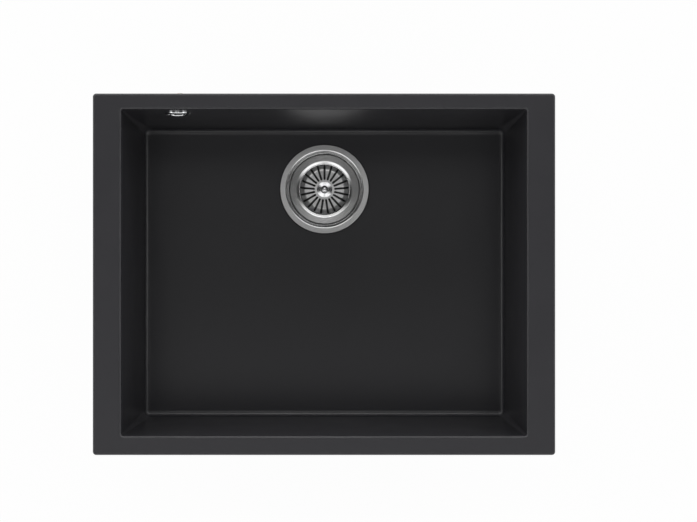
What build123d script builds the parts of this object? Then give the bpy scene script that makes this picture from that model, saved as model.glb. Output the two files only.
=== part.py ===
from build123d import *
import os
from math import atan2, cos, degrees, hypot, radians, sin

# Single-bowl kitchen sink in moulded composite stone, with a basket strainer waste and an overflow.
# Sizes are in millimetres. The origin is the middle of the rim's top face, +X runs along the sink to
# the right, +Y points to the back and +Z points up.

# Bowl and rim
BOWL_LENGTH = 482.0
BOWL_WIDTH = 388.0
BOWL_DEPTH = 200.0
END_RIM = 34.0
BACK_RIM = 19.0
FRONT_RIM = 23.0
RIM_THICKNESS = 12.0
RIM_CORNER_RADIUS = 4.0
RIM_EDGE_RADIUS = 2.8
END_WALL_LEAN = 8.5
LONG_WALL_LEAN = 8.1
BOWL_CORNER_RADIUS = 2.2
FLOOR_CORNER_RADIUS = 8.0
BOWL_LIP_RADIUS = 3.2
WALL_THICKNESS = 9.0
FLOOR_THICKNESS = 10.0
FLOOR_FILLET = 7.5
UNDERSIDE_FILLET = 10.0
RIM_ROOT_FILLET = 3.0

# Thread inserts in the underside of the rim
INSERT_RADIUS = 4.0
INSERT_THREAD_RADIUS = 2.5
INSERT_LENGTH = 8.0
INSERT_EDGE_DISTANCE = 10.0
INSERT_PITCH = 280.0

# Drain hole and steel pan, from the pan's bore outwards
DRAIN_SETBACK = 77.9
FLANGE_SEAT_DEPTH = 2.0
FLANGE_SEAT_CLEARANCE = 1.0
SEAT_EDGE_CHAMFER = 0.6
DRAIN_HOLE_CLEARANCE = 3.8
DRAIN_MOUTH_CLEARANCE = 2.2
PAN_SHEET = 0.8
PAN_BORE_RADIUS = 42.8
PAN_SEAT_WIDTH = 2.8
PAN_LEDGE_WIDTH = 3.0
PAN_CROWN_WIDTH = 2.3
PAN_CROWN_DROP = 0.4
PAN_FLANGE_WIDTH = 6.1
PAN_LEDGE_DROP = 2.8
PAN_SEAT_DROP = 6.0
PAN_TAPER = 2.0
PAN_CROWN_BEND = 4.0
PAN_OUTER_BEND = 1.1
PAN_INNER_BEND = 0.8
PAN_FOOT_BEND = 5.0
PAN_OUTLETS = 4
PAN_OUTLET_WIDTH = 11.0
PAN_OUTLET_ARC = 52.0
PAN_GASKET_THICKNESS = 1.0
PAN_GASKET_INSET = 0.5

# Lift-out basket: dish, knob, post and plug
DISH_SHEET = 0.8
DISH_OVERLAP = 1.4
DISH_SEAT_GAP = 3.4
DISH_RIM_WIDTH = 8.0
DISH_RIM_DROP = 0.5
DISH_RING_WIDTH = 4.0
DISH_RING_DROP = 0.8
DISH_WALL_RUN = 6.0
DISH_WALL_HEIGHT = 8.0
DISH_RIM_BEND = 8.0
DISH_WALL_BEND = 3.0
SLOT_COUNT = 21
SLOT_WIDTH = 2.7
SLOT_INNER_RADIUS = 12.6
SLOT_INSET = 0.6
RUNNING_GAP = 0.1
POST_FIT = 0.05
POST_RADIUS = 3.0
POST_TIP_CHAMFER = 0.8
KNOB_BASE_RADIUS = 10.0
KNOB_STEM_RADIUS = 5.2
KNOB_NECK_RADIUS = 4.2
KNOB_CAP_RADIUS = 5.0
KNOB_EDGE = 0.8
KNOB_FOOT_HEIGHT = 1.5
KNOB_NECK_HEIGHT = 6.5
KNOB_CAP_HEIGHT = 9.2
KNOB_HEIGHT = 13.0
KNOB_SOCKET = 6.0
CARRIER_HUB_RADIUS = 12.0
CARRIER_HUB_HEIGHT = 4.0
CARRIER_PLATE_HEIGHT = 4.0
CARRIER_RIM_INSET = 1.0
PLUG_SEAL_RADIUS = 32.0
PLUG_SEAL_BORE = 12.5
PLUG_SEAL_THICKNESS = 3.0
PLUG_SEAL_ROUND = 1.0
CLIP_RADIUS = 5.5
CLIP_THICKNESS = 0.8
CLIP_GROOVE_DEPTH = 0.8
CLIP_MOUTH = 3.6
RING_SECTION_RADIUS = 0.4
RING_GROOVE_WIDTH = 1.2
RING_BELOW_HEAD = 4.0

# Clamp screw, washer and nut
SCREW_RADIUS = 5.0
SCREW_HOLE_CLEARANCE = 0.3
SCREW_HEAD_RADIUS = 9.0
SCREW_HEAD_HEIGHT = 3.5
SCREW_BORE_CLEARANCE = 0.3
SCREW_BORE_DEPTH = 11.0
SCREW_SLOT_WIDTH = 2.0
SCREW_SLOT_DEPTH = 1.4
SCREW_OVERRUN = 2.0
POST_END_GAP = 1.5
WASHER_OVERHANG = 1.0
WASHER_THICKNESS = 1.0
NUT_FLAT = 17.0
NUT_HEIGHT = 8.0

# Waste body under the floor
BODY_GASKET_THICKNESS = 3.0
BODY_FLANGE_OVERHANG = 7.5
BODY_FLANGE_THICKNESS = 4.0
BODY_CLEARANCE = 2.9
BODY_WALL = 3.0
BODY_NECK_LENGTH = 38.0
BODY_CONE_HEIGHT = 14.0
BODY_GUSSETS = 8
BODY_GUSSET_HEIGHT = 9.0
BODY_GUSSET_THICKNESS = 3.0
BOSS_WALL = 2.4
BOSS_GAP = 3.0
BOSS_LENGTH = 30.0
BODY_RIBS = 3
BODY_RIB_HEIGHT = 12.0
BODY_RIB_THICKNESS = 3.0
OUTLET_RADIUS = 23.9
OUTLET_BORE = 19.5
OUTLET_LENGTH = 24.0
THREAD_PITCH = 2.309
THREAD_DEPTH = 1.2
THREAD_TURNS = 8
INLET_RADIUS = 13.2
INLET_BORE = 8.5
INLET_DROP = 24.0
INLET_REACH = 20.0

# Overflow fittings on the back wall
OVERFLOW_X = -176.5
OVERFLOW_DEPTH = 35.0
OVERFLOW_HOLE_RADIUS = 13.8
ROSETTE_OVERHANG = 2.2
ROSETTE_HEIGHT = 2.4
ROSETTE_ROUND = 1.5
ROSETTE_WALL = 1.6
ROSETTE_FIT = 0.2
ROSETTE_HUB_RADIUS = 4.6
ROSETTE_HUB_HEIGHT = 2.5
ROSETTE_HUB_RECESS = 1.5
ROSETTE_SPOKES = 3
ROSETTE_SPOKE_WIDTH = 1.8
OVERFLOW_SCREW_RADIUS = 2.5
OVERFLOW_SCREW_HEAD_RADIUS = 4.0
OVERFLOW_SCREW_HEAD_HEIGHT = 2.2
OVERFLOW_SCREW_SLOT = 1.0
OVERFLOW_GASKET_THICKNESS = 2.0
OVERFLOW_GASKET_WIDTH = 4.0
ELBOW_OVERHANG = 1.0
ELBOW_DEPTH = 9.5
ELBOW_WALL = 1.8
ELBOW_DROP = 47.0
ELBOW_ROUND = 2.0
ELBOW_BOSS_RADIUS = 5.2
ELBOW_BOSS_RECESS = 1.0
ELBOW_INSERT_RADIUS = 3.6
ELBOW_INSERT_LENGTH = 5.0
SHOE_TOP = 70.0
SHOE_HEIGHT = 14.0
SPIGOT_FIT = 0.1
SPIGOT_WALL = 1.9
SPIGOT_LENGTH = 17.0

# Overflow hose, its clip, washer and union nut
HOSE_RADIUS = 9.5
HOSE_VALLEY_RADIUS = 8.3
HOSE_BORE = 7.0
HOSE_WALL_GAP = 1.0
HOSE_BEND_RADIUS = 45.0
HOSE_CUFF = 20.0
RIB_PITCH = 4.0
RIB_CREST = 1.6
RIB_SLOPE = 0.5
COLLAR_WIDTH = 2.5
COLLAR_HEIGHT = 3.0
HOSE_WASHER_THICKNESS = 2.5
UNION_WALL = 3.0
UNION_FIT = 0.15
UNION_GRIP = 14.0
UNION_LIP = 3.0
UNION_RIBS = 12
UNION_RIB_RADIUS = 1.4
CLIP_BAND_THICKNESS = 1.0
CLIP_BAND_WIDTH = 8.0
CLIP_BAND_BELOW = 4.0
CLIP_BAND_GAP = 4.0
CLIP_EAR_LENGTH = 5.0

# Outline of the rim, and the bowl's place in it
rim_length = BOWL_LENGTH + 2 * END_RIM
rim_width = BOWL_WIDTH + BACK_RIM + FRONT_RIM
bowl_centre_y = (FRONT_RIM - BACK_RIM) / 2

# Levels down the drain, from the floor of the bowl to the outlet
floor_z = -BOWL_DEPTH
underside_z = floor_z - FLOOR_THICKNESS
seat_z = floor_z - FLANGE_SEAT_DEPTH
flange_top = seat_z + PAN_GASKET_THICKNESS + PAN_SHEET
ledge_z = flange_top - PAN_LEDGE_DROP
pan_seat_z = ledge_z - PAN_SEAT_DROP
dish_rim_top = pan_seat_z + DISH_SEAT_GAP + DISH_SHEET
dish_ring_top = dish_rim_top - DISH_RIM_DROP
dish_ring_bottom = dish_ring_top - DISH_RING_DROP
dish_floor = dish_ring_bottom - DISH_WALL_HEIGHT
knob_base_z = dish_floor + RUNNING_GAP
carrier_top = dish_floor - DISH_SHEET - RUNNING_GAP
carrier_step = carrier_top - CARRIER_HUB_HEIGHT
plug_seal_top = carrier_step - CARRIER_PLATE_HEIGHT
pan_floor = plug_seal_top - PLUG_SEAL_THICKNESS
pan_under = pan_floor - PAN_SHEET
washer_top = pan_floor + WASHER_THICKNESS
screw_top = washer_top + SCREW_HEAD_HEIGHT
screw_bore_end = screw_top - SCREW_BORE_DEPTH
post_tip = screw_bore_end + POST_END_GAP
body_top = underside_z - BODY_GASKET_THICKNESS
neck_top = body_top - BODY_FLANGE_THICKNESS
neck_bottom = neck_top - BODY_NECK_LENGTH
outlet_top = neck_bottom - BODY_CONE_HEIGHT
outlet_end = outlet_top - OUTLET_LENGTH
boss_top = pan_under - BOSS_GAP
boss_bottom = boss_top - BOSS_LENGTH
inlet_z = neck_top - INLET_DROP

# Radii round the drain's axis
pan_step_radius = PAN_BORE_RADIUS + PAN_SEAT_WIDTH
pan_mouth_radius = pan_step_radius + PAN_LEDGE_WIDTH
pan_crown_radius = pan_mouth_radius + PAN_CROWN_WIDTH
flange_radius = pan_crown_radius + PAN_FLANGE_WIDTH
drain_hole_radius = PAN_BORE_RADIUS + PAN_SHEET + DRAIN_HOLE_CLEARANCE
drain_mouth_radius = pan_mouth_radius + PAN_SHEET + DRAIN_MOUTH_CLEARANCE
flange_seat_radius = flange_radius + FLANGE_SEAT_CLEARANCE
dish_rim_radius = PAN_BORE_RADIUS + DISH_OVERLAP
dish_ring_radius = dish_rim_radius - DISH_RIM_WIDTH
dish_wall_radius = dish_ring_radius - DISH_RING_WIDTH
dish_floor_radius = dish_wall_radius - DISH_WALL_RUN
screw_bore_radius = POST_RADIUS + SCREW_BORE_CLEARANCE
screw_hole_radius = SCREW_RADIUS + SCREW_HOLE_CLEARANCE
washer_radius = SCREW_HEAD_RADIUS + WASHER_OVERHANG
ring_groove_radius = screw_bore_radius - RUNNING_GAP - 2 * RING_SECTION_RADIUS
body_bore_radius = PAN_BORE_RADIUS + PAN_SHEET + BODY_CLEARANCE
body_radius = body_bore_radius + BODY_WALL
body_flange_radius = body_radius + BODY_FLANGE_OVERHANG
nut_corner_radius = NUT_FLAT / 2 / cos(radians(30))
boss_radius = nut_corner_radius + BOSS_WALL
inlet_end = body_radius + INLET_REACH

# Drain axis, with a section plane whose X is the radius and whose Y is the height
drain_y = bowl_centre_y + BOWL_WIDTH / 2 - LONG_WALL_LEAN - DRAIN_SETBACK
drain_axis = Axis((0, drain_y, 0), (0, 0, 1))
drain_section = Plane((0, drain_y, 0), x_dir=(1, 0, 0), z_dir=(0, -1, 0))

# Overflow axis, square to the leaning back wall, with local Z pointing into the bowl and Y up the wall
back_lean = atan2(LONG_WALL_LEAN, BOWL_DEPTH)


def back_wall_y(depth):
    """Y of the back wall's inner face at a depth below the rim."""
    return bowl_centre_y + BOWL_WIDTH / 2 - LONG_WALL_LEAN * depth / BOWL_DEPTH


overflow_plane = Plane(
    (OVERFLOW_X, back_wall_y(OVERFLOW_DEPTH), -OVERFLOW_DEPTH),
    x_dir=(1, 0, 0),
    z_dir=(0, -cos(back_lean), sin(back_lean)),
)
overflow_axis = Axis(overflow_plane.origin, overflow_plane.z_dir)
overflow_section = Plane(overflow_plane.origin, x_dir=(1, 0, 0), z_dir=-overflow_plane.y_dir)
wall_back = -WALL_THICKNESS * cos(back_lean)
elbow_front = wall_back - OVERFLOW_GASKET_THICKNESS
overflow_gasket_radius = OVERFLOW_HOLE_RADIUS + OVERFLOW_GASKET_WIDTH
elbow_radius = overflow_gasket_radius + ELBOW_OVERHANG
elbow_boss_front = elbow_front - ELBOW_BOSS_RECESS
hub_front = -ROSETTE_HUB_RECESS
hub_back = hub_front - ROSETTE_HUB_HEIGHT

# Hose route: out of the waste body's inlet, round one bend and up to the elbow's spigot
hose_y = back_wall_y(SHOE_TOP) + WALL_THICKNESS + HOSE_WALL_GAP + HOSE_RADIUS
hose_reach = hypot(OVERFLOW_X, hose_y - drain_y)
hose_heading = atan2(hose_y - drain_y, OVERFLOW_X)
heading = Vector(cos(hose_heading), sin(hose_heading), 0)
hose_plane = Plane((0, drain_y, 0), x_dir=heading, z_dir=(heading.Y, -heading.X, 0))
inlet_plane = Plane((0, drain_y, inlet_z), x_dir=(0, 0, 1), z_dir=heading)
hose_start = inlet_end + HOSE_WASHER_THICKNESS
collar_end = hose_start + COLLAR_HEIGHT
collar_radius = HOSE_RADIUS + COLLAR_WIDTH
shoe_bottom = -SHOE_TOP - SHOE_HEIGHT
spigot_radius = HOSE_BORE - SPIGOT_FIT


def bowl_plane(depth):
    """Level plane on the bowl's centre line at a depth below the rim."""
    return Plane((0, bowl_centre_y, -depth))


def bowl_section(depth, wall):
    """Rounded rectangle of the bowl at a depth, grown outwards by a wall."""
    share = depth / BOWL_DEPTH
    length = BOWL_LENGTH + 2 * wall - 2 * END_WALL_LEAN * share
    width = BOWL_WIDTH + 2 * wall - 2 * LONG_WALL_LEAN * share
    corner = BOWL_CORNER_RADIUS + (FLOOR_CORNER_RADIUS - BOWL_CORNER_RADIUS) * share
    RectangleRounded(length, width, corner + wall)


def turned(points, plane, axis, mode=Mode.ADD):
    """Solid of revolution from a closed outline of (radius, height) points."""
    with BuildSketch(plane) as outline:
        with BuildLine():
            Polyline(*points, close=True)
        make_face()
    revolve(outline.sketch, axis=axis, mode=mode)


def pressed_sheet(points, bends, thickness):
    """Steel sheet turned round the drain's axis, below an upper outline with rounded bends."""
    with BuildSketch(drain_section) as outline:
        with BuildLine() as upper:
            FilletPolyline(*points, radius=bends)
            offset(upper.line, amount=thickness, side=Side.LEFT, mode=Mode.REPLACE)
        make_face()
    revolve(outline.sketch, axis=drain_axis)


def drain_ring(outer, inner, top, thickness):
    """Flat ring round the drain's axis, downwards from its top level."""
    with BuildSketch(Plane((0, drain_y, top))) as outline:
        Circle(outer)
        Circle(inner, mode=Mode.SUBTRACT)
    extrude(outline.sketch, amount=-thickness)


# Moulded bowl
with BuildPart() as sink_bowl:
    with BuildSketch():
        RectangleRounded(rim_length, rim_width, RIM_CORNER_RADIUS)
    extrude(amount=-RIM_THICKNESS)
    with BuildSketch(bowl_plane(RIM_THICKNESS)):
        bowl_section(RIM_THICKNESS, WALL_THICKNESS)
    with BuildSketch(bowl_plane(-underside_z)):
        bowl_section(-underside_z, WALL_THICKNESS)
    loft(ruled=True)
    fillet(sink_bowl.faces().sort_by(Axis.Z)[0].edges(), UNDERSIDE_FILLET)
    rim_underside = sink_bowl.faces().filter_by(Axis.Z).sort_by(Axis.Z)[1]
    fillet(rim_underside.inner_wires()[0].edges(), RIM_ROOT_FILLET)
    with BuildSketch(bowl_plane(0)):
        bowl_section(0, 0)
    with BuildSketch(bowl_plane(BOWL_DEPTH)):
        bowl_section(BOWL_DEPTH, 0)
    loft(ruled=True, mode=Mode.SUBTRACT)
    bowl_floor = sink_bowl.faces().sort_by_distance((0, bowl_centre_y, floor_z))[0]
    fillet(bowl_floor.edges(), FLOOR_FILLET)
    rim_top = sink_bowl.faces().sort_by(Axis.Z)[-1]
    fillet(rim_top.inner_wires()[0].edges(), BOWL_LIP_RADIUS)
    rim_top = sink_bowl.faces().sort_by(Axis.Z)[-1]
    fillet(rim_top.outer_wire().edges(), RIM_EDGE_RADIUS)
    drain_cut = [
        (0, floor_z + SEAT_EDGE_CHAMFER),
        (flange_seat_radius + 2 * SEAT_EDGE_CHAMFER, floor_z + SEAT_EDGE_CHAMFER),
        (flange_seat_radius, floor_z - SEAT_EDGE_CHAMFER),
        (flange_seat_radius, seat_z),
        (drain_mouth_radius, seat_z),
        (drain_hole_radius, seat_z - (drain_mouth_radius - drain_hole_radius)),
        (drain_hole_radius, underside_z - FLOOR_THICKNESS),
        (0, underside_z - FLOOR_THICKNESS),
    ]
    turned(drain_cut, drain_section, drain_axis, Mode.SUBTRACT)
    with BuildSketch(overflow_plane):
        Circle(OVERFLOW_HOLE_RADIUS)
    extrude(amount=2 * WALL_THICKNESS, both=True, mode=Mode.SUBTRACT)
    with BuildSketch(Plane.XY.offset(-RIM_THICKNESS)):
        with GridLocations(rim_length - 2 * INSERT_EDGE_DISTANCE, INSERT_PITCH, 2, 2):
            Circle(INSERT_RADIUS)
    extrude(amount=INSERT_LENGTH, mode=Mode.SUBTRACT)

# Four brass thread inserts, flush with the underside of the rim
with BuildPart() as rim_inserts:
    with BuildSketch(Plane.XY.offset(-RIM_THICKNESS)):
        with GridLocations(rim_length - 2 * INSERT_EDGE_DISTANCE, INSERT_PITCH, 2, 2):
            Circle(INSERT_RADIUS)
            Circle(INSERT_THREAD_RADIUS, mode=Mode.SUBTRACT)
    extrude(amount=INSERT_LENGTH)

# Seal under the pan's flange
with BuildPart() as pan_gasket:
    drain_ring(
        flange_radius - PAN_GASKET_INSET,
        drain_mouth_radius + PAN_GASKET_INSET,
        seat_z + PAN_GASKET_THICKNESS,
        PAN_GASKET_THICKNESS,
    )

# Pressed steel pan: crowned flange, ledge, lower step, tapered wall and floor with its outlets
with BuildPart() as strainer_pan:
    pan_outline = [
        (flange_radius, flange_top),
        (pan_crown_radius, flange_top),
        (pan_mouth_radius, flange_top - PAN_CROWN_DROP),
        (pan_mouth_radius, ledge_z),
        (pan_step_radius, ledge_z),
        (pan_step_radius, pan_seat_z),
        (PAN_BORE_RADIUS, pan_seat_z),
        (PAN_BORE_RADIUS - PAN_TAPER, pan_floor),
        (screw_hole_radius, pan_floor),
    ]
    step_bends = [PAN_OUTER_BEND, PAN_INNER_BEND]
    pan_bends = [PAN_CROWN_BEND] + 2 * step_bends + [PAN_OUTER_BEND, PAN_FOOT_BEND]
    pressed_sheet(pan_outline, pan_bends, PAN_SHEET)
    outlet_radius = (PLUG_SEAL_BORE + PLUG_SEAL_RADIUS) / 2
    with BuildSketch(Plane((0, drain_y, pan_under))):
        with PolarLocations(0, PAN_OUTLETS):
            outlet_arc = CenterArc((0, 0), outlet_radius, -PAN_OUTLET_ARC / 2, PAN_OUTLET_ARC)
            SlotArc(outlet_arc, PAN_OUTLET_WIDTH)
    extrude(amount=PAN_SHEET, mode=Mode.SUBTRACT)

# Lift-out dish: nearly flat rim, sloping ring, steep wall and slotted floor
with BuildPart() as basket_dish:
    dish_outline = [
        (dish_rim_radius, dish_rim_top),
        (dish_ring_radius, dish_ring_top),
        (dish_wall_radius, dish_ring_bottom),
        (dish_floor_radius, dish_floor),
        (POST_RADIUS + POST_FIT, dish_floor),
    ]
    dish_bends = [DISH_RIM_BEND, DISH_WALL_BEND, DISH_WALL_BEND]
    pressed_sheet(dish_outline, dish_bends, DISH_SHEET)
    slot_outer_radius = dish_wall_radius - SLOT_INSET
    slot_length = slot_outer_radius - SLOT_INNER_RADIUS
    with BuildSketch(Plane((0, drain_y, dish_floor - DISH_SHEET))):
        with PolarLocations(SLOT_INNER_RADIUS + slot_length / 2, SLOT_COUNT, start_angle=90):
            SlotOverall(slot_length, SLOT_WIDTH)
    extrude(amount=DISH_SHEET + DISH_WALL_HEIGHT, mode=Mode.SUBTRACT)

# Knob: low conical foot, narrow neck and domed cap
with BuildPart() as basket_knob:
    with BuildSketch(drain_section):
        with BuildLine():
            cap_edge = (KNOB_CAP_RADIUS, knob_base_z + KNOB_CAP_HEIGHT)
            cap_top = (0, knob_base_z + KNOB_HEIGHT)
            Polyline(
                cap_top,
                (0, knob_base_z),
                (KNOB_BASE_RADIUS, knob_base_z),
                (KNOB_BASE_RADIUS, knob_base_z + KNOB_EDGE),
                (KNOB_STEM_RADIUS, knob_base_z + KNOB_FOOT_HEIGHT),
                (KNOB_NECK_RADIUS, knob_base_z + KNOB_NECK_HEIGHT),
                cap_edge,
            )
            Spline(cap_edge, cap_top, tangents=[(0, 1), (-1, 0)])
        make_face()
    revolve(axis=drain_axis)
    knob_socket = [
        (0, knob_base_z),
        (POST_RADIUS, knob_base_z),
        (POST_RADIUS, knob_base_z + KNOB_SOCKET),
        (0, knob_base_z + KNOB_SOCKET),
    ]
    turned(knob_socket, drain_section, drain_axis, Mode.SUBTRACT)

# Post, with grooves for the retaining clip and for the O-ring
with BuildPart() as basket_post:
    ring_top = screw_top - RING_BELOW_HEAD
    post_outline = [
        (0, knob_base_z + KNOB_SOCKET),
        (POST_RADIUS, knob_base_z + KNOB_SOCKET),
        (POST_RADIUS, carrier_step),
        (POST_RADIUS - CLIP_GROOVE_DEPTH, carrier_step),
        (POST_RADIUS - CLIP_GROOVE_DEPTH, carrier_step - CLIP_THICKNESS),
        (POST_RADIUS, carrier_step - CLIP_THICKNESS),
        (POST_RADIUS, ring_top),
        (ring_groove_radius, ring_top),
        (ring_groove_radius, ring_top - RING_GROOVE_WIDTH),
        (POST_RADIUS, ring_top - RING_GROOVE_WIDTH),
        (POST_RADIUS, post_tip + POST_TIP_CHAMFER),
        (POST_RADIUS - POST_TIP_CHAMFER, post_tip),
        (0, post_tip),
    ]
    turned(post_outline, drain_section, drain_axis)

# Retaining clip under the carrier's hub, open on one side
with BuildPart() as post_clip:
    with BuildSketch(Plane((0, drain_y, carrier_step))):
        Circle(CLIP_RADIUS)
        Circle(POST_RADIUS - CLIP_GROOVE_DEPTH, mode=Mode.SUBTRACT)
        with Locations((CLIP_RADIUS, 0)):
            Rectangle(2 * CLIP_RADIUS, CLIP_MOUTH, mode=Mode.SUBTRACT)
    extrude(amount=-CLIP_THICKNESS)

# O-ring in the post's lower groove
with BuildPart() as post_ring:
    with BuildSketch(drain_section):
        with Locations((ring_groove_radius + RING_SECTION_RADIUS, ring_top - RING_GROOVE_WIDTH / 2)):
            Circle(RING_SECTION_RADIUS)
    revolve(axis=drain_axis)

# Carrier disc on the post, hollow below its hub to clear the screw's head
with BuildPart() as seal_carrier:
    carrier_radius = PLUG_SEAL_RADIUS - CARRIER_RIM_INSET
    carrier_outline = [
        (POST_RADIUS, carrier_top),
        (CARRIER_HUB_RADIUS, carrier_top),
        (PLUG_SEAL_BORE + CARRIER_HUB_HEIGHT, carrier_step),
        (carrier_radius, carrier_step),
        (carrier_radius, plug_seal_top),
        (PLUG_SEAL_BORE, plug_seal_top),
        (PLUG_SEAL_BORE, carrier_step),
        (POST_RADIUS, carrier_step),
    ]
    turned(carrier_outline, drain_section, drain_axis)

# Rubber ring that closes the pan's outlets
with BuildPart() as plug_seal:
    drain_ring(PLUG_SEAL_RADIUS, PLUG_SEAL_BORE, plug_seal_top, PLUG_SEAL_THICKNESS)
    fillet(plug_seal.faces().sort_by(Axis.Z)[-1].outer_wire().edges(), PLUG_SEAL_ROUND)

# Sealing washer under the clamp screw's head
with BuildPart() as clamp_washer:
    drain_ring(washer_radius, screw_hole_radius, washer_top, WASHER_THICKNESS)

# Hollow clamp screw with a slotted head
with BuildPart() as clamp_screw:
    screw_outline = [
        (0, screw_top),
        (SCREW_HEAD_RADIUS, screw_top),
        (SCREW_HEAD_RADIUS, washer_top),
        (SCREW_RADIUS, washer_top),
        (SCREW_RADIUS, boss_bottom - SCREW_OVERRUN),
        (0, boss_bottom - SCREW_OVERRUN),
    ]
    turned(screw_outline, drain_section, drain_axis)
    with BuildSketch(Plane((0, drain_y, screw_top))):
        Circle(screw_bore_radius)
    extrude(amount=-SCREW_BORE_DEPTH, mode=Mode.SUBTRACT)
    with BuildSketch(Plane((0, drain_y, screw_top))):
        Rectangle(2 * SCREW_HEAD_RADIUS, SCREW_SLOT_WIDTH)
    extrude(amount=-SCREW_SLOT_DEPTH, mode=Mode.SUBTRACT)

# Brass nut in the hexagon pocket of the waste body's boss
with BuildPart() as clamp_nut:
    with BuildSketch(Plane((0, drain_y, boss_bottom))):
        RegularPolygon(nut_corner_radius, 6)
        Circle(SCREW_RADIUS, mode=Mode.SUBTRACT)
    extrude(amount=NUT_HEIGHT)

# Thick seal between the waste body and the underside of the floor
with BuildPart() as body_gasket:
    drain_ring(body_flange_radius, body_bore_radius, underside_z, BODY_GASKET_THICKNESS)

# Waste body: flanged cup, central boss on ribs and the overflow inlet
with BuildPart() as waste_body:
    body_outline = [
        (body_bore_radius, body_top),
        (body_flange_radius, body_top),
        (body_flange_radius, neck_top),
        (body_radius, neck_top),
        (body_radius, neck_bottom),
        (body_bore_radius, neck_bottom),
    ]
    turned(body_outline, drain_section, drain_axis)
    for index in range(BODY_GUSSETS):
        gusset_angle = hose_heading + radians((index + 0.5) * 360 / BODY_GUSSETS)
        gusset_out = Vector(cos(gusset_angle), sin(gusset_angle), 0)
        gusset_side = (gusset_out.Y, -gusset_out.X, 0)
        gusset_plane = Plane((0, drain_y, neck_top), x_dir=gusset_out, z_dir=gusset_side)
        with BuildSketch(gusset_plane):
            with BuildLine():
                Polyline(
                    (body_radius - BODY_WALL / 2, 0),
                    (body_flange_radius, 0),
                    (body_radius, -BODY_GUSSET_HEIGHT),
                    (body_radius - BODY_WALL / 2, -BODY_GUSSET_HEIGHT),
                    close=True,
                )
            make_face()
        extrude(amount=BODY_GUSSET_THICKNESS / 2, both=True)
    with BuildSketch(Plane((0, drain_y, boss_bottom))):
        Circle(boss_radius)
    extrude(amount=BOSS_LENGTH)
    with BuildSketch(Plane((0, drain_y, neck_bottom))):
        first_rib = degrees(hose_heading) + 180 / BODY_RIBS
        with PolarLocations(body_bore_radius / 2, BODY_RIBS, start_angle=first_rib):
            Rectangle(body_bore_radius + BODY_WALL, BODY_RIB_THICKNESS)
    extrude(amount=BODY_RIB_HEIGHT)
    with BuildSketch(Plane((0, drain_y, boss_bottom))):
        Circle(screw_hole_radius)
    extrude(amount=BOSS_LENGTH, mode=Mode.SUBTRACT)
    with BuildSketch(Plane((0, drain_y, boss_bottom))):
        RegularPolygon(nut_corner_radius, 6)
    extrude(amount=NUT_HEIGHT, mode=Mode.SUBTRACT)
    with BuildSketch(inlet_plane.offset(body_bore_radius)):
        Circle(INLET_RADIUS)
    extrude(amount=inlet_end - body_bore_radius)
    with BuildSketch(inlet_plane.offset(body_bore_radius - INLET_BORE)):
        Circle(INLET_BORE)
    extrude(amount=inlet_end - body_bore_radius + INLET_BORE, mode=Mode.SUBTRACT)

# Cone between the waste body's cup and its outlet
with BuildPart() as waste_cone:
    cone_outline = [
        (body_bore_radius, neck_bottom),
        (body_radius, neck_bottom),
        (OUTLET_RADIUS, outlet_top),
        (OUTLET_BORE, outlet_top),
    ]
    turned(cone_outline, drain_section, drain_axis)

# Threaded outlet tube under the cone
with BuildPart() as outlet_tail:
    drain_ring(OUTLET_RADIUS, OUTLET_BORE, outlet_top, OUTLET_LENGTH)
    for turn in range(THREAD_TURNS):
        groove_z = outlet_end + (turn + 1) * THREAD_PITCH
        groove = [
            (OUTLET_RADIUS, groove_z + THREAD_PITCH / 3),
            (OUTLET_RADIUS - THREAD_DEPTH, groove_z),
            (OUTLET_RADIUS, groove_z - THREAD_PITCH / 3),
        ]
        turned(groove, drain_section, drain_axis, Mode.SUBTRACT)

# Chrome ring over the overflow hole, with a recessed hub on spokes
with BuildPart() as overflow_rosette:
    tube_radius = OVERFLOW_HOLE_RADIUS - ROSETTE_FIT
    tube_bore = tube_radius - ROSETTE_WALL
    ring_radius = OVERFLOW_HOLE_RADIUS + ROSETTE_OVERHANG
    ring_outline = [
        (tube_bore, hub_back),
        (tube_radius, hub_back),
        (tube_radius, 0),
        (ring_radius, 0),
        (ring_radius, ROSETTE_HEIGHT),
        (tube_bore, ROSETTE_HEIGHT),
    ]
    turned(ring_outline, overflow_section, overflow_axis)
    fillet(overflow_rosette.edges().group_by(overflow_axis)[-1], ROSETTE_ROUND)
    with BuildSketch(overflow_plane.offset(hub_back)):
        Circle(ROSETTE_HUB_RADIUS)
        with PolarLocations(tube_bore / 2, ROSETTE_SPOKES, start_angle=90):
            Rectangle(tube_bore + ROSETTE_WALL, ROSETTE_SPOKE_WIDTH)
        Circle(OVERFLOW_SCREW_RADIUS + ROSETTE_FIT, mode=Mode.SUBTRACT)
    extrude(amount=ROSETTE_HUB_HEIGHT)

# Slotted screw through the rosette's hub
with BuildPart() as overflow_screw:
    head_front = hub_front + OVERFLOW_SCREW_HEAD_HEIGHT
    screw_end = elbow_boss_front - ELBOW_INSERT_LENGTH
    overflow_screw_outline = [
        (0, head_front),
        (OVERFLOW_SCREW_HEAD_RADIUS, head_front),
        (OVERFLOW_SCREW_HEAD_RADIUS, hub_front),
        (OVERFLOW_SCREW_RADIUS, hub_front),
        (OVERFLOW_SCREW_RADIUS, screw_end),
        (0, screw_end),
    ]
    turned(overflow_screw_outline, overflow_section, overflow_axis)
    fillet(overflow_screw.edges().group_by(overflow_axis)[-1], OVERFLOW_SCREW_SLOT)
    with BuildSketch(overflow_plane.offset(head_front)):
        Rectangle(2 * OVERFLOW_SCREW_HEAD_RADIUS, OVERFLOW_SCREW_SLOT)
    extrude(amount=-OVERFLOW_SCREW_SLOT, mode=Mode.SUBTRACT)

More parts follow.
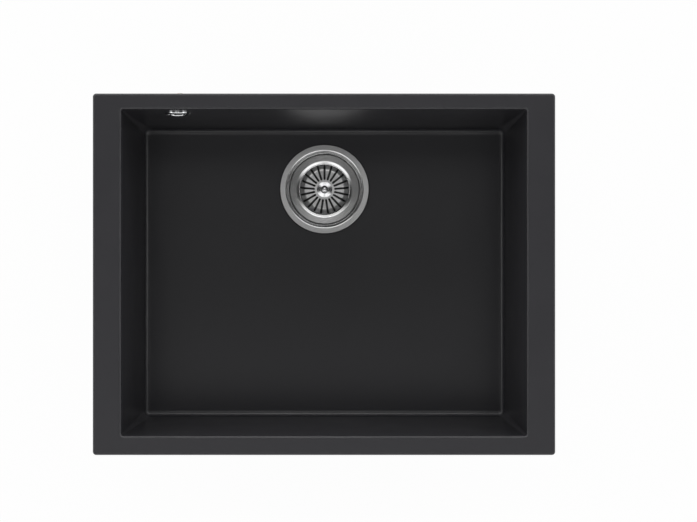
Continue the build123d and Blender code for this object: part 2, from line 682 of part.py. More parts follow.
# Seal between the back wall and the elbow
with BuildPart() as overflow_gasket:
    with BuildSketch(overflow_plane.offset(elbow_front)):
        Circle(overflow_gasket_radius)
        Circle(OVERFLOW_HOLE_RADIUS, mode=Mode.SUBTRACT)
    extrude(amount=OVERFLOW_GASKET_THICKNESS)

# Flat duct behind the wall, with a screw boss and a spigot pointing down
with BuildPart() as overflow_elbow:
    with BuildSketch(overflow_plane.offset(elbow_front)):
        with BuildLine():
            Polyline(
                (-elbow_radius, 0),
                (-elbow_radius, -ELBOW_DROP),
                (elbow_radius, -ELBOW_DROP),
                (elbow_radius, 0),
            )
            ThreePointArc((elbow_radius, 0), (0, elbow_radius), (-elbow_radius, 0))
        make_face()
    extrude(amount=-ELBOW_DEPTH)
    fillet(overflow_elbow.faces().sort_by(overflow_axis)[0].edges(), ELBOW_ROUND)
    with BuildSketch(Plane((OVERFLOW_X, hose_y, -SHOE_TOP))):
        Circle(HOSE_RADIUS)
    extrude(amount=-SHOE_HEIGHT)
    with BuildSketch(Plane((OVERFLOW_X, hose_y, shoe_bottom))):
        Circle(spigot_radius)
    extrude(amount=-SPIGOT_LENGTH)
    with BuildSketch(overflow_plane.offset(elbow_front)):
        Circle(OVERFLOW_HOLE_RADIUS)
    extrude(amount=-(ELBOW_DEPTH - ELBOW_WALL), mode=Mode.SUBTRACT)
    with BuildSketch(overflow_plane.offset(elbow_front - ELBOW_WALL)):
        with Locations((0, -(ELBOW_DROP - ELBOW_WALL) / 2)):
            Rectangle(2 * (elbow_radius - ELBOW_WALL), ELBOW_DROP - ELBOW_WALL)
    extrude(amount=-(ELBOW_DEPTH - 2 * ELBOW_WALL), mode=Mode.SUBTRACT)
    with BuildSketch(Plane((OVERFLOW_X, hose_y, -SHOE_TOP - ELBOW_WALL))):
        Circle(spigot_radius - SPIGOT_WALL)
    extrude(amount=-(SHOE_HEIGHT + SPIGOT_LENGTH - ELBOW_WALL), mode=Mode.SUBTRACT)
    with BuildSketch(overflow_plane.offset(elbow_boss_front)):
        Circle(ELBOW_BOSS_RADIUS)
    extrude(amount=-(ELBOW_DEPTH - ELBOW_BOSS_RECESS - ELBOW_WALL / 2))
    with BuildSketch(overflow_plane.offset(elbow_boss_front)):
        Circle(ELBOW_INSERT_RADIUS)
    extrude(amount=-ELBOW_INSERT_LENGTH, mode=Mode.SUBTRACT)

# Brass thread in the elbow's boss
with BuildPart() as elbow_insert:
    with BuildSketch(overflow_plane.offset(elbow_boss_front)):
        Circle(ELBOW_INSERT_RADIUS)
        Circle(OVERFLOW_SCREW_RADIUS, mode=Mode.SUBTRACT)
    extrude(amount=-ELBOW_INSERT_LENGTH)

# Route of the overflow hose
with BuildLine(hose_plane) as hose_route:
    FilletPolyline(
        (hose_start, inlet_z),
        (hose_reach, inlet_z),
        (hose_reach, shoe_bottom),
        radius=HOSE_BEND_RADIUS,
    )
hose_line = hose_route.wires()[0]


def hose_station(distance):
    """Plane square to the hose's route at a distance from its lower end."""
    place = hose_line.position_at(distance, position_mode=PositionMode.LENGTH)
    along = hose_line.tangent_at(distance, position_mode=PositionMode.LENGTH)
    return Plane(place, x_dir=hose_plane.z_dir, z_dir=along)


# Ribbed hose with plain cuffs, and a collar at the lower end
with BuildPart() as overflow_hose:
    rib_count = int((hose_line.length - 2 * HOSE_CUFF) / RIB_PITCH)
    ribs_start = (hose_line.length - rib_count * RIB_PITCH) / 2
    rib_valley = RIB_PITCH - RIB_CREST - 2 * RIB_SLOPE
    hose_rings = [(0, HOSE_RADIUS), (ribs_start, HOSE_RADIUS)]
    for rib in range(rib_count):
        valley_start = ribs_start + rib * RIB_PITCH + RIB_SLOPE
        hose_rings.append((valley_start, HOSE_VALLEY_RADIUS))
        hose_rings.append((valley_start + rib_valley, HOSE_VALLEY_RADIUS))
        hose_rings.append((valley_start + rib_valley + RIB_SLOPE, HOSE_RADIUS))
        hose_rings.append((valley_start - RIB_SLOPE + RIB_PITCH, HOSE_RADIUS))
    hose_rings.append((hose_line.length, HOSE_RADIUS))
    for distance, radius in hose_rings:
        with BuildSketch(hose_station(distance)):
            Circle(radius)
    loft(ruled=True)
    with BuildSketch(hose_station(0)):
        Circle(collar_radius)
    extrude(amount=COLLAR_HEIGHT)
    with BuildSketch(hose_station(0)) as bore_section:
        Circle(HOSE_BORE)
    sweep(bore_section.sketch, path=hose_line, mode=Mode.SUBTRACT)
print(f"overflow hose: {hose_line.length:.1f} mm long with {rib_count} ribs")

# Spring band on the hose's upper cuff
with BuildPart() as hose_clip:
    ear_x = HOSE_RADIUS + CLIP_BAND_THICKNESS / 2 + CLIP_EAR_LENGTH / 2
    ear_y = CLIP_BAND_GAP / 2 + CLIP_BAND_THICKNESS / 2
    with BuildSketch(Plane((OVERFLOW_X, hose_y, shoe_bottom - CLIP_BAND_BELOW))):
        Circle(HOSE_RADIUS + CLIP_BAND_THICKNESS)
        Circle(HOSE_RADIUS, mode=Mode.SUBTRACT)
        with Locations((-HOSE_RADIUS, 0)):
            Rectangle(2 * CLIP_BAND_THICKNESS, CLIP_BAND_GAP, mode=Mode.SUBTRACT)
        with Locations((-ear_x, ear_y), (-ear_x, -ear_y)):
            Rectangle(CLIP_EAR_LENGTH, CLIP_BAND_THICKNESS)
    extrude(amount=-CLIP_BAND_WIDTH)

# Seal between the hose's collar and the waste body's inlet
with BuildPart() as hose_washer:
    with BuildSketch(inlet_plane.offset(inlet_end)):
        Circle(collar_radius)
        Circle(INLET_BORE, mode=Mode.SUBTRACT)
    extrude(amount=HOSE_WASHER_THICKNESS)

# Union nut that pulls the hose's collar onto the inlet
with BuildPart() as hose_nut:
    union_start = inlet_end - UNION_GRIP
    union_seat = collar_end + UNION_FIT
    union_bore = INLET_RADIUS + UNION_FIT
    with BuildSketch(inlet_plane.offset(union_start)):
        Circle(union_bore + UNION_WALL)
        with PolarLocations(union_bore + UNION_WALL, UNION_RIBS):
            Circle(UNION_RIB_RADIUS)
        Circle(union_bore, mode=Mode.SUBTRACT)
    extrude(amount=union_seat - union_start)
    with BuildSketch(inlet_plane.offset(union_seat)):
        Circle(union_bore + UNION_WALL)
        Circle(HOSE_RADIUS + UNION_FIT, mode=Mode.SUBTRACT)
    extrude(amount=UNION_LIP)

pieces = {
    "sink_bowl": sink_bowl,
    "rim_inserts": rim_inserts,
    "pan_gasket": pan_gasket,
    "strainer_pan": strainer_pan,
    "basket_dish": basket_dish,
    "basket_knob": basket_knob,
    "basket_post": basket_post,
    "post_clip": post_clip,
    "post_ring": post_ring,
    "seal_carrier": seal_carrier,
    "plug_seal": plug_seal,
    "clamp_washer": clamp_washer,
    "clamp_screw": clamp_screw,
    "clamp_nut": clamp_nut,
    "body_gasket": body_gasket,
    "waste_body": waste_body,
    "waste_cone": waste_cone,
    "outlet_tail": outlet_tail,
    "overflow_rosette": overflow_rosette,
    "overflow_screw": overflow_screw,
    "overflow_gasket": overflow_gasket,
    "overflow_elbow": overflow_elbow,
    "elbow_insert": elbow_insert,
    "overflow_hose": overflow_hose,
    "hose_clip": hose_clip,
    "hose_washer": hose_washer,
    "hose_nut": hose_nut,
}
os.makedirs("parts", exist_ok=True)
for name, piece in pieces.items():
    piece.part.label = name
    export_step(piece.part, f"parts/{name}.step")
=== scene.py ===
# %% [markdown]
# # A composite kitchen sink with a basket strainer
#
# The object is a black single-bowl sink, moulded from quartz sand and resin, of the kind that is
# fixed under a worktop. A steel basket strainer sits in its floor, a chrome ring covers the
# overflow in its back wall, and the plastic waste with its ribbed hose hangs below.
#
# The solids come in as a fixed frame, in metres, with the middle of the rim's top face at the
# origin, +X to the right, +Y to the back and +Z up. This file gives them their finishes, makes
# the hose anew, and sets the camera, the floor and the light.

# %% Load the frame
from math import cos, hypot, pi, radians, sin

import bpy
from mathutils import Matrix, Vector


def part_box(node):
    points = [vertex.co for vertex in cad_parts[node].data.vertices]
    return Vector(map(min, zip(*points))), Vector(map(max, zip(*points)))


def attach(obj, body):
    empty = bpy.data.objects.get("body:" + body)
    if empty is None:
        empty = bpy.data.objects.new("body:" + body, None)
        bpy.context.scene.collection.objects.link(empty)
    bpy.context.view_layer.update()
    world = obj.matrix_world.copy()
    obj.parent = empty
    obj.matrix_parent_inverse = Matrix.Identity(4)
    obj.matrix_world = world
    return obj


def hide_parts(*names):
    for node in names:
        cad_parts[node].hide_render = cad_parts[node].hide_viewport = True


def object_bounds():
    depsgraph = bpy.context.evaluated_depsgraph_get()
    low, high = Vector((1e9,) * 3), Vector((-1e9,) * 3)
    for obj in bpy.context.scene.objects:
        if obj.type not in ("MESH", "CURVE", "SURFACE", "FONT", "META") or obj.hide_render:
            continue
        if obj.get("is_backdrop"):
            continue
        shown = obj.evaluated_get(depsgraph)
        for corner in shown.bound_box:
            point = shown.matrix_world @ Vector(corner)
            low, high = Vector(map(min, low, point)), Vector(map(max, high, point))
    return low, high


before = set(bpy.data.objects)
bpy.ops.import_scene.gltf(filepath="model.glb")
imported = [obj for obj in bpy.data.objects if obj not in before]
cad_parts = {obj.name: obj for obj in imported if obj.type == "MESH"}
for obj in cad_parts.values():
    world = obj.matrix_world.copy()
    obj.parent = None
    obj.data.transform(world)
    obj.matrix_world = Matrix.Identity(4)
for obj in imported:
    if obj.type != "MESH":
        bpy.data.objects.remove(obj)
cad_low, cad_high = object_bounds()
cad_size = [round(1000 * (high - low), 1) for low, high in zip(cad_low, cad_high)]
print("solids:", len(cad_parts), "box in mm:", cad_size)

# %% [markdown]
# ## Camera
#
# The picture looks straight down into the bowl from a little over two metres. With a view that is
# square to the rim, the rim stays a true rectangle, and the floor, 200 mm further away, looks
# smaller. How much smaller it looks gives the camera's distance. The sink isn't in the middle of
# the picture, so the lens is shifted and the camera isn't turned: a turned camera would make the
# rim's sides run together.

# %% Camera
PHOTO_WIDTH = 697
PHOTO_HEIGHT = 522
SENSOR_WIDTH = 36.0
CAMERA_HEIGHT = 2.246
CAMERA_X = 0.007
CAMERA_Y = 0.002
MM_PER_PIXEL_AT_RIM = 1.1881
AXIS_PIXEL_X = 329.9
AXIS_PIXEL_Y = 272.6
VIEW_LIMIT = 50.0

camera_data = bpy.data.cameras.new("view_from_above")
camera_data.sensor_width = SENSOR_WIDTH
camera_data.lens = SENSOR_WIDTH * CAMERA_HEIGHT * 1000 / (MM_PER_PIXEL_AT_RIM * PHOTO_WIDTH)
camera_data.shift_x = (PHOTO_WIDTH / 2 - AXIS_PIXEL_X) / PHOTO_WIDTH
camera_data.shift_y = (AXIS_PIXEL_Y - PHOTO_HEIGHT / 2) / PHOTO_WIDTH
camera_data.clip_end = VIEW_LIMIT
camera = bpy.data.objects.new("view_from_above", camera_data)
camera.location = (CAMERA_X, CAMERA_Y, CAMERA_HEIGHT)
bpy.context.scene.collection.objects.link(camera)
bpy.context.scene.camera = camera
print("lens:", round(camera_data.lens, 1), "mm")

# %% [markdown]
# ## Tools for the finishes
#
# Every finish is one Principled shader with a few texture nodes in front of it. These short
# helpers add a node, set its inputs and link it, so that each finish below reads as a list of
# what the surface shows. All patterns read Object coordinates, which are metres in the frame, so
# a scale of 1000 means about one grain per millimetre.

# %% Helpers for nodes
def new_finish(name, **sockets):
    """Material with a Principled shader, its sockets set by name with underscores for spaces."""
    material = bpy.data.materials.new(name)
    material.use_nodes = True
    shader = material.node_tree.nodes["Principled BSDF"]
    for socket, value in sockets.items():
        shader.inputs[socket.replace("_", " ")].default_value = value
    return material, shader


def add_node(tree, kind, settings=None, **inputs):
    """Node with its settings, and with inputs set to a value or linked to another node's output.

    An input goes by its name with underscores for spaces, or by its number after an underscore.
    """
    node = tree.nodes.new(kind)
    for key, value in (settings or {}).items():
        setattr(node, key, value)
    for key, value in inputs.items():
        by_number = key[1:].isdigit()
        socket = node.inputs[int(key[1:]) if by_number else key.replace("_", " ")]
        if isinstance(value, bpy.types.NodeSocket):
            tree.links.new(value, socket)
        else:
            socket.default_value = value
    return node


def object_coordinates(tree, centre=(0.0, 0.0, 0.0)):
    """Object coordinates, moved so that the centre is at zero."""
    place = add_node(tree, "ShaderNodeTexCoord").outputs["Object"]
    shift = tuple(-value for value in centre)
    return add_node(tree, "ShaderNodeMapping", Vector=place, Location=shift).outputs["Vector"]


def noise(tree, vector, scale, detail=2.0, roughness=0.5):
    """Noise value between 0 and 1 with about so many grains per metre."""
    pattern = {"Scale": scale, "Detail": detail, "Roughness": roughness}
    return add_node(tree, "ShaderNodeTexNoise", Vector=vector, **pattern).outputs["Fac"]


def spread(tree, value, low, high, start=0.3, end=0.7):
    """Stretch a value from start..end to low..high."""
    node = add_node(tree, "ShaderNodeMapRange", Value=value)
    node.inputs["From Min"].default_value = start
    node.inputs["From Max"].default_value = end
    node.inputs["To Min"].default_value = low
    node.inputs["To Max"].default_value = high
    return node.outputs["Result"]


def maths(tree, operation, first, second=0.0):
    """Result of one sum on two values."""
    node = add_node(tree, "ShaderNodeMath", {"operation": operation}, _0=first, _1=second)
    return node.outputs[0]


def vector_maths(tree, operation, first, second=(0.0, 0.0, 0.0)):
    """Node that does one sum on two vectors."""
    return add_node(tree, "ShaderNodeVectorMath", {"operation": operation}, _0=first, _1=second)


def shades(tree, value, positions, colours):
    """Colour from a ramp that runs from one colour to another between two positions."""
    ramp = add_node(tree, "ShaderNodeValToRGB", Fac=value)
    for element, position, colour in zip(ramp.color_ramp.elements, positions, colours):
        element.position = position
        element.color = (*colour, 1.0)
    return ramp.outputs["Color"]


def bump(tree, height, distance, strength):
    """Normal that follows a height pattern; distance is the height's full depth in metres."""
    node = add_node(tree, "ShaderNodeBump", Height=height, Distance=distance, Strength=strength)
    return node.outputs["Normal"]


def scaled(values, factor):
    """Each value of a colour or a range multiplied by a factor."""
    return tuple(value * factor for value in values)


def dress(finish, *nodes):
    """Give a finish to solids of the frame, in place of the plain colour that they came with."""
    for name in nodes:
        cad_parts[name].data.materials.clear()
        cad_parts[name].data.materials.append(finish)


# %% [markdown]
# ## Composite stone
#
# The bowl is black quartz sand in resin. From a step away it is one even soft black. Close up
# there are grains of over half a millimetre, some a little greyer, and a fine grainy relief that
# spreads every reflection. The moulded face is smoother than the back, which nobody sees once the
# sink is built in: there the sand stands proud and the black is dusty. The back is what lies below
# the rim's underside and has a normal that points away from the middle of the bowl's mouth.

# %% Composite stone
STONE_BLACK = (0.0168, 0.0165, 0.0190)
STONE_GREY = (0.0287, 0.0281, 0.0322)
STONE_BACK = (0.050, 0.050, 0.051)
STONE_SPECULAR = 0.47
GRAINS_PER_METRE = 1500.0
GRAIN_RANGE = (0.36, 0.72)
GRAIN_DEPTH = 0.00012
GRAIN_STRENGTH = 0.45
CLOUDS_PER_METRE = 14.0
DUST_RANGE = (0.30, 0.75)
SATIN = (0.29, 0.35)
ROUGHER_BACK = 0.25
RIM_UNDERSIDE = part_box("rim_inserts")[0].z
UNDERSIDE_MARGIN = 0.0005


def composite_stone():
    """Black stone with a moulded face and a dusty back."""
    material, shader = new_finish("composite_stone", Specular_IOR_Level=STONE_SPECULAR)
    tree = material.node_tree
    place = object_coordinates(tree)
    grain = noise(tree, place, GRAINS_PER_METRE, detail=3.0, roughness=0.6)
    clouds = noise(tree, place, CLOUDS_PER_METRE, detail=3.0)
    face_colour = shades(tree, grain, GRAIN_RANGE, (STONE_BLACK, STONE_GREY))

    normal = add_node(tree, "ShaderNodeNewGeometry").outputs["Normal"]
    outward = vector_maths(tree, "DOT_PRODUCT", normal, place).outputs["Value"]
    facing_out = maths(tree, "GREATER_THAN", outward, 0.0)
    height = add_node(tree, "ShaderNodeSeparateXYZ", Vector=place).outputs["Z"]
    under_rim = maths(tree, "LESS_THAN", height, RIM_UNDERSIDE + UNDERSIDE_MARGIN)
    back = maths(tree, "MULTIPLY", facing_out, under_rim)

    dust = shades(tree, clouds, DUST_RANGE, (STONE_GREY, STONE_BACK))
    by_side = {"_0": back, "_6": face_colour, "_7": dust}
    colour = add_node(tree, "ShaderNodeMix", {"data_type": "RGBA"}, **by_side)
    tree.links.new(colour.outputs[2], shader.inputs["Base Color"])

    satin = spread(tree, clouds, *SATIN)
    rough = maths(tree, "ADD", satin, maths(tree, "MULTIPLY", back, ROUGHER_BACK))
    tree.links.new(rough, shader.inputs["Roughness"])
    relief = bump(tree, grain, GRAIN_DEPTH, GRAIN_STRENGTH)
    tree.links.new(relief, shader.inputs["Normal"])
    return material


dress(composite_stone(), "sink_bowl")
print("composite stone on sink_bowl")

# %% [markdown]
# ## Steel of the strainer
#
# The pan and the dish are pressed from thin sheet and brushed while they spin, so their scratches
# run in rings round the drain. Such rings spread a reflection across the scratches and not along
# them, which is why turned steel shows bright wedges. The Principled shader does that with its
# anisotropy, and a radial Tangent node says which way the rings run. A noise that is stretched
# along the rings adds the single scratches. Inside the flange the sheet is also polished, the
# slotted floor of the dish less than the sloping rings round it.

# %% Brushed steel
DRAIN_CENTRE = (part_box("strainer_pan")[0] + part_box("strainer_pan")[1]) / 2
DRAIN = (0.0, DRAIN_CENTRE.y, 0.0)
FLANGE_INNER = 0.0509
SLOTS_END = 0.0315
FINISH_EDGE = 0.0006
POLISH = 0.42
POLISH_OF_BARS = 0.8
SCRATCHES_PER_METRE = 2600.0
SCRATCHES_AROUND = 3.0
SPECKLES_PER_METRE = 1400.0
SCRATCH_SHARE = 0.6
SPECKLE_SHARE = 0.4
STEEL_RANGE = (0.34, 0.66)
STEEL_SHADE_FACTORS = (0.84, 1.12)
STEEL_ROUGHNESS_FACTORS = (0.8, 1.2)
STEEL_RELIEF = 0.5


def round_the_drain(tree):
    """Distance from the drain's axis, angle round it, and height."""
    place = object_coordinates(tree, DRAIN)
    x, y, z = add_node(tree, "ShaderNodeSeparateXYZ", Vector=place).outputs
    flat = add_node(tree, "ShaderNodeCombineXYZ", X=x, Y=y).outputs[0]
    radius = vector_maths(tree, "LENGTH", flat).outputs["Value"]
    return radius, maths(tree, "ARCTAN2", y, x), z


def ring_scratches(tree, radius, angle, height):
    """Noise that is fine across rings round the drain and long along them."""
    across = maths(tree, "MULTIPLY", maths(tree, "ADD", radius, height), SCRATCHES_PER_METRE)
    along = maths(tree, "MULTIPLY", angle, SCRATCHES_AROUND)
    lines = add_node(tree, "ShaderNodeCombineXYZ", X=across, Y=along)
    return noise(tree, lines.outputs[0], scale=1.0, roughness=0.6)


def brushed_steel(name, grey, rough, anisotropic, grain_depth):
    """Sheet with scratches in rings round the drain, polished inside the flange."""
    material, shader = new_finish(name, Metallic=1.0, Anisotropic=anisotropic)
    tree = material.node_tree
    radius, angle, height = round_the_drain(tree)
    rings = ring_scratches(tree, radius, angle, height)
    scratches = maths(tree, "MULTIPLY", rings, SCRATCH_SHARE)
    speckle = noise(tree, object_coordinates(tree), SPECKLES_PER_METRE, detail=1.0)
    both = maths(tree, "ADD", scratches, maths(tree, "MULTIPLY", speckle, SPECKLE_SHARE))
    greys = [scaled((grey, grey, grey), factor) for factor in STEEL_SHADE_FACTORS]
    tree.links.new(shades(tree, both, STEEL_RANGE, greys), shader.inputs["Base Color"])
    brushed = spread(tree, both, *scaled(STEEL_ROUGHNESS_FACTORS, rough))
    bent = spread(tree, radius, POLISH, 1.0, FLANGE_INNER - FINISH_EDGE, FLANGE_INNER)
    bars = spread(tree, radius, POLISH_OF_BARS, POLISH, SLOTS_END - FINISH_EDGE, SLOTS_END)
    polish = maths(tree, "MAXIMUM", bent, bars)
    tree.links.new(maths(tree, "MULTIPLY", brushed, polish), shader.inputs["Roughness"])
    tangent = add_node(tree, "ShaderNodeTangent", {"direction_type": "RADIAL", "axis": "Z"})
    tree.links.new(tangent.outputs["Tangent"], shader.inputs["Tangent"])
    tree.links.new(bump(tree, both, grain_depth, STEEL_RELIEF), shader.inputs["Normal"])
    return material


pan_steel = brushed_steel(
    "brushed_steel_pan", grey=0.57, rough=0.40, anisotropic=0.2, grain_depth=0.00002
)
dish_steel = brushed_steel(
    "brushed_steel_dish", grey=0.74, rough=0.40, anisotropic=0.3, grain_depth=0.000008
)
dress(pan_steel, "strainer_pan")
dress(dish_steel, "basket_dish")
print("brushed steel on strainer_pan and basket_dish")

# %% [markdown]
# ## Other metals
#
# The knob is polished on a wheel, the overflow ring and its screw are chromed brass, the post and
# the clamp screw are turned steel, the clips are spring steel, and the thread inserts and the nut
# are brass. They differ in colour, in how sharp their reflections are and in the marks of
# handling, so one function makes them all.

# %% Metals
POLISHED_STEEL = (0.74, 0.74, 0.75)
CHROME = (0.84, 0.85, 0.86)
TURNED_STEEL = (0.56, 0.56, 0.57)
SPRING_STEEL = (0.42, 0.43, 0.46)
BRASS = (0.78, 0.58, 0.27)
MARKS_RANGE = (0.35, 0.60)
MARKS_DARKER = 0.86
MARKS_DEPTH = 0.000004
MARKS_STRENGTH = 0.3


def plain_metal(name, colour, rough, smudge, marks_per_metre):
    """Metal with marks of handling, which are darker and rougher by the smudge."""
    material, shader = new_finish(name, Metallic=1.0)
    tree = material.node_tree
    marks = noise(tree, object_coordinates(tree), marks_per_metre, detail=4.0)
    marked = shades(tree, marks, MARKS_RANGE, (scaled(colour, MARKS_DARKER), colour))
    tree.links.new(marked, shader.inputs["Base Color"])
    tree.links.new(spread(tree, marks, rough + smudge, rough), shader.inputs["Roughness"])
    tree.links.new(bump(tree, marks, MARKS_DEPTH, MARKS_STRENGTH), shader.inputs["Normal"])
    return material


polished = plain_metal(
    "polished_steel", POLISHED_STEEL, rough=0.14, smudge=0.06, marks_per_metre=160.0
)
chrome = plain_metal("chrome_plate", CHROME, rough=0.06, smudge=0.05, marks_per_metre=180.0)
turned = plain_metal("turned_steel", TURNED_STEEL, rough=0.26, smudge=0.10, marks_per_metre=900.0)
spring = plain_metal("spring_steel", SPRING_STEEL, rough=0.30, smudge=0.12, marks_per_metre=500.0)
brass = plain_metal("brass", BRASS, rough=0.26, smudge=0.12, marks_per_metre=420.0)
dress(polished, "basket_knob")
dress(chrome, "overflow_rosette", "overflow_screw")
dress(turned, "basket_post", "clamp_screw")
dress(spring, "post_clip", "hose_clip")
dress(brass, "rim_inserts", "clamp_nut", "elbow_insert")
print("metals on the knob, the overflow, the post, the screws, the clips and the inserts")

# %% [markdown]
# ## Plastic and rubber
#
# The waste with its outlet, the elbow and the union nut are moulded from white polypropylene,
# which is a little milky and has the fine grain of its mould. The plug's carrier is the same
# plastic in black, so the slots above it look dark. The hose is a softer grey plastic. The seals
# are black rubber with a dull skin.

# %% Plastic and rubber
WHITE_PLASTIC = (0.74, 0.74, 0.72)
GREY_PLASTIC = (0.30, 0.31, 0.32)
BLACK_PLASTIC = (0.020, 0.020, 0.021)
BLACK_RUBBER = (0.022, 0.022, 0.023)
MILK_DEPTH = 0.002
FLOW_MARKS_PER_METRE = 30.0
FLOW_RANGE = (0.30, 0.62)
FLOW_DARKER = 0.9
FLOW_ROUGHER = 0.08
MOULD_GRAIN_STRENGTH = 0.4


def moulded(name, colour, rough, grains_per_metre, grain_depth, milky=0.0):
    """Plastic or rubber with the grain of its mould and faint marks of how it flowed."""
    material, shader = new_finish(name, Subsurface_Weight=milky, Subsurface_Scale=MILK_DEPTH)
    tree = material.node_tree
    place = object_coordinates(tree)
    grain = noise(tree, place, grains_per_metre)
    flow = noise(tree, place, FLOW_MARKS_PER_METRE, detail=3.0)
    marked = shades(tree, flow, FLOW_RANGE, (scaled(colour, FLOW_DARKER), colour))
    tree.links.new(marked, shader.inputs["Base Color"])
    tree.links.new(spread(tree, flow, rough + FLOW_ROUGHER, rough), shader.inputs["Roughness"])
    tree.links.new(bump(tree, grain, grain_depth, MOULD_GRAIN_STRENGTH), shader.inputs["Normal"])
    return material


white_plastic = moulded(
    "white_plastic", WHITE_PLASTIC,
    rough=0.40, grains_per_metre=1200.0, grain_depth=0.00004, milky=0.15,
)
grey_hose = moulded(
    "grey_hose", GREY_PLASTIC, rough=0.42, grains_per_metre=900.0, grain_depth=0.00003
)
black_plastic = moulded(
    "black_plastic", BLACK_PLASTIC, rough=0.42, grains_per_metre=1200.0, grain_depth=0.00004
)
black_rubber = moulded(
    "black_rubber", BLACK_RUBBER, rough=0.62, grains_per_metre=1600.0, grain_depth=0.00006
)
dress(white_plastic, "waste_body", "waste_cone", "outlet_tail", "overflow_elbow", "hose_nut")
dress(black_plastic, "seal_carrier")
dress(black_rubber, "pan_gasket", "body_gasket", "overflow_gasket", "clamp_washer", "hose_washer")
dress(black_rubber, "plug_seal", "post_ring")
print("plastic and rubber on the waste and the seals")

# %% [markdown]
# ## Overflow hose
#
# The hose runs level out of the waste body, turns up in one bend and ends on the elbow's spigot.
# It is blown into a mould with a ring at every four millimetres, so its ribs are round waves,
# softer than turned grooves. A tube whose radius follows a rule along a path is a job for
# Geometry Nodes: a Bezier path goes in, each point of it gets a radius from its distance along
# the path, and Curve to Mesh sweeps a circle of that radius. Solidify then gives it its wall.

# %% Route of the hose
HOSE_RADIUS = 0.0095
HOSE_VALLEY = 0.0012
HOSE_BEND = 0.045
HOSE_START = 0.072
HOSE_CUFF = 0.020
HOSE_WALL = 0.0012
COLLAR_RADIUS = 0.012
COLLAR_HEIGHT = 0.003
RIB_PITCH = 0.004
RIB_ROUNDING = 0.7
ARC_HANDLE = 0.5523
ROUTE_STEPS = 64

hose_low, hose_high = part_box("overflow_hose")
hose_top = Vector((hose_low.x + HOSE_RADIUS, hose_high.y - HOSE_RADIUS, hose_high.z))
run_height = hose_low.z + COLLAR_RADIUS
reach = hypot(hose_top.x - DRAIN[0], hose_top.y - DRAIN[1])
heading = Vector((hose_top.x - DRAIN[0], hose_top.y - DRAIN[1], 0.0)) / reach
upwards = Vector((0.0, 0.0, 1.0))
hose_bottom = Vector((DRAIN[0], DRAIN[1], run_height)) + heading * HOSE_START
corner = Vector((hose_top.x, hose_top.y, run_height))
bend_start = corner - heading * HOSE_BEND
bend_end = corner + upwards * HOSE_BEND

path_data = bpy.data.curves.new("hose_route", "CURVE")
path_data.dimensions = "3D"
path_data.resolution_u = ROUTE_STEPS
route = path_data.splines.new("BEZIER")
straight = HOSE_BEND / 3
curved = HOSE_BEND * ARC_HANDLE
# Each station: its place, the way the hose runs there, and its handles' lengths before and after
stations = [
    (hose_bottom, heading, straight, straight),
    (bend_start, heading, straight, curved),
    (bend_end, upwards, curved, straight),
    (hose_top, upwards, straight, straight),
]
route.bezier_points.add(len(stations) - 1)
for point, (place, along, before, after) in zip(route.bezier_points, stations):
    point.handle_left_type = "FREE"
    point.handle_right_type = "FREE"
    point.co = place
    point.handle_left = place - along * before
    point.handle_right = place + along * after
hose_length = route.calc_length()
rib_count = int((hose_length - 2 * HOSE_CUFF) / RIB_PITCH)
ribs_start = (hose_length - rib_count * RIB_PITCH) / 2
print("hose:", round(1000 * hose_length, 1), "mm with", rib_count, "ribs")


# %% Nodes that turn the route into a ribbed tube
def ribbed_tube():
    """Node tree that sweeps a circle along a path, with a collar at its start and ribs after it."""
    tree = bpy.data.node_groups.new("ribbed_tube", "GeometryNodeTree")
    tree.interface.new_socket("Geometry", in_out="INPUT", socket_type="NodeSocketGeometry")
    ribs = ("Radius", "Valley", "Pitch", "Ribs start", "Ribs end")
    for name in (*ribs, "Collar radius", "Collar height"):
        tree.interface.new_socket(name, in_out="INPUT", socket_type="NodeSocketFloat")
    for name in ("Steps", "Sides"):
        tree.interface.new_socket(name, in_out="INPUT", socket_type="NodeSocketInt")
    tree.interface.new_socket("Finish", in_out="INPUT", socket_type="NodeSocketMaterial")
    tree.interface.new_socket("Geometry", in_out="OUTPUT", socket_type="NodeSocketGeometry")
    given = tree.nodes.new("NodeGroupInput").outputs
    result = tree.nodes.new("NodeGroupOutput")

    steps = {"Curve": given["Geometry"], "Count": given["Steps"]}
    path = add_node(tree, "GeometryNodeResampleCurve", **steps)
    length = add_node(tree, "GeometryNodeSplineParameter").outputs["Length"]
    from_start = maths(tree, "SUBTRACT", length, given["Ribs start"])
    phase = maths(tree, "MULTIPLY", maths(tree, "DIVIDE", from_start, given["Pitch"]), 2 * pi)
    swing = maths(tree, "SUBTRACT", 1.0, maths(tree, "COSINE", phase))
    wave = maths(tree, "POWER", maths(tree, "MULTIPLY", swing, 0.5), RIB_ROUNDING)
    depth = maths(tree, "MULTIPLY", wave, given["Valley"])
    after = maths(tree, "GREATER_THAN", length, given["Ribs start"])
    before = maths(tree, "LESS_THAN", length, given["Ribs end"])
    ribbed = maths(tree, "MULTIPLY", maths(tree, "MULTIPLY", after, before), depth)
    in_collar = maths(tree, "LESS_THAN", length, given["Collar height"])
    wider = maths(tree, "SUBTRACT", given["Collar radius"], given["Radius"])
    collar = maths(tree, "MULTIPLY", in_collar, wider)
    radius = maths(tree, "ADD", maths(tree, "SUBTRACT", given["Radius"], ribbed), collar)

    ring = add_node(tree, "GeometryNodeCurvePrimitiveCircle", Resolution=given["Sides"], Radius=1.0)
    sweep = {"Curve": path.outputs[0], "Profile_Curve": ring.outputs[0], "Scale": radius}
    tube = add_node(tree, "GeometryNodeCurveToMesh", **sweep)
    tube = add_node(tree, "GeometryNodeSetShadeSmooth", Geometry=tube.outputs[0], Shade_Smooth=True)
    tube = add_node(tree, "GeometryNodeRealizeInstances", Geometry=tube.outputs[0])
    dressed = {"Geometry": tube.outputs[0], "Material": given["Finish"]}
    tube = add_node(tree, "GeometryNodeSetMaterial", **dressed)
    tree.links.new(tube.outputs[0], result.inputs[0])
    return tree


